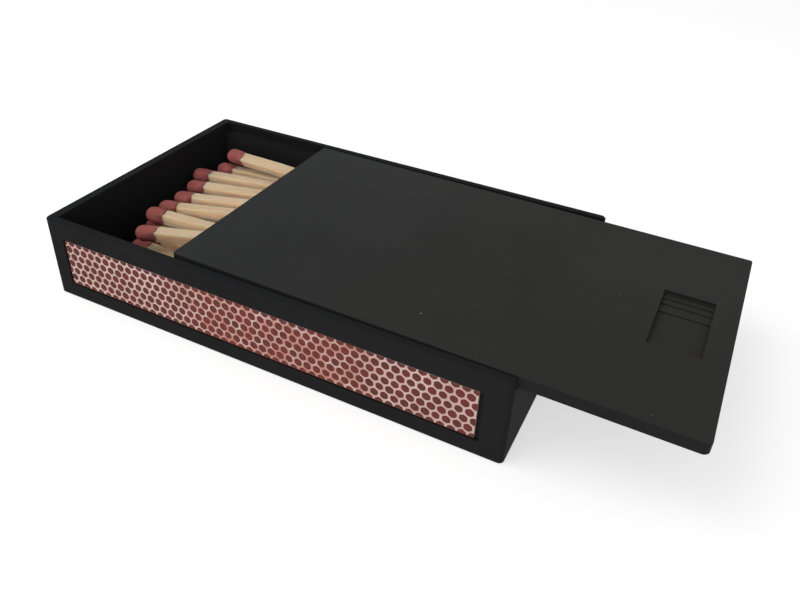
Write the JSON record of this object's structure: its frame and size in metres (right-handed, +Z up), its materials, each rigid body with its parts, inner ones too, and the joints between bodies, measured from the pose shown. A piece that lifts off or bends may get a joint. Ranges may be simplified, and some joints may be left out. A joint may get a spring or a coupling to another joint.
{
  "type": "matchbox",
  "caption": "Flat black matchbox: a tray with a sliding lid that has a thumb scoop, a honeycomb striking strip on one long side, and loose wooden matches inside.",
  "frame": {"origin": "centre of the tray's underside, on the surface that the box stands on", "axes": "+X along the box, the way the lid slides open; +Y from the striking strip's side to the plain side; +Z up"},
  "size_m": [0.1061, 0.0484, 0.015],
  "materials": {
    "tray_plastic": "satin black, finely layered, moulded or printed plastic",
    "lid_plastic": "satin black, flat top with a stepped thumb scoop",
    "striker": "pale pink paper printed with a honeycomb of dark red striking compound, scuffed in use",
    "match_wood": "sawn pale softwood",
    "match_head": "dull dusty red dried match compound"
  },
  "bodies": {
    "tray": {"box_tray": "tray_plastic", "striker_strip": "striker", "match_01_stick": "match_wood", "match_01_head": "match_head", "match_02_stick": "match_wood", "match_02_head": "match_head", "match_03_stick": "match_wood", "match_03_head": "match_head", "match_04_stick": "match_wood", "match_04_head": "match_head", "match_05_stick": "match_wood", "match_05_head": "match_head", "match_06_stick": "match_wood", "match_06_head": "match_head", "match_07_stick": "match_wood", "match_07_head": "match_head", "match_08_stick": "match_wood", "match_08_head": "match_head", "match_09_stick": "match_wood", "match_09_head": "match_head", "match_10_stick": "match_wood", "match_10_head": "match_head", "match_11_stick": "match_wood", "match_11_head": "match_head", "match_12_stick": "match_wood", "match_12_head": "match_head", "match_13_stick": "match_wood", "match_13_head": "match_head", "match_14_stick": "match_wood", "match_14_head": "match_head", "match_15_stick": "match_wood", "match_15_head": "match_head", "match_16_stick": "match_wood", "match_16_head": "match_head", "match_17_stick": "match_wood", "match_17_head": "match_head", "match_18_stick": "match_wood", "match_18_head": "match_head", "match_19_stick": "match_wood", "match_19_head": "match_head", "match_20_stick": "match_wood", "match_20_head": "match_head", "match_21_stick": "match_wood", "match_21_head": "match_head", "match_22_stick": "match_wood", "match_22_head": "match_head", "match_23_stick": "match_wood", "match_23_head": "match_head", "match_24_stick": "match_wood", "match_24_head": "match_head", "match_25_stick": "match_wood", "match_25_head": "match_head", "match_26_stick": "match_wood", "match_26_head": "match_head", "match_27_stick": "match_wood", "match_27_head": "match_head"},
    "lid": {"sliding_lid": "lid_plastic"}
  },
  "joints": [
    {"name": "lid_slide", "type": "slide", "parent": "tray", "child": "lid", "axis": [1, 0, 0], "range_m": [-0.023, 0.06]}
  ]
}
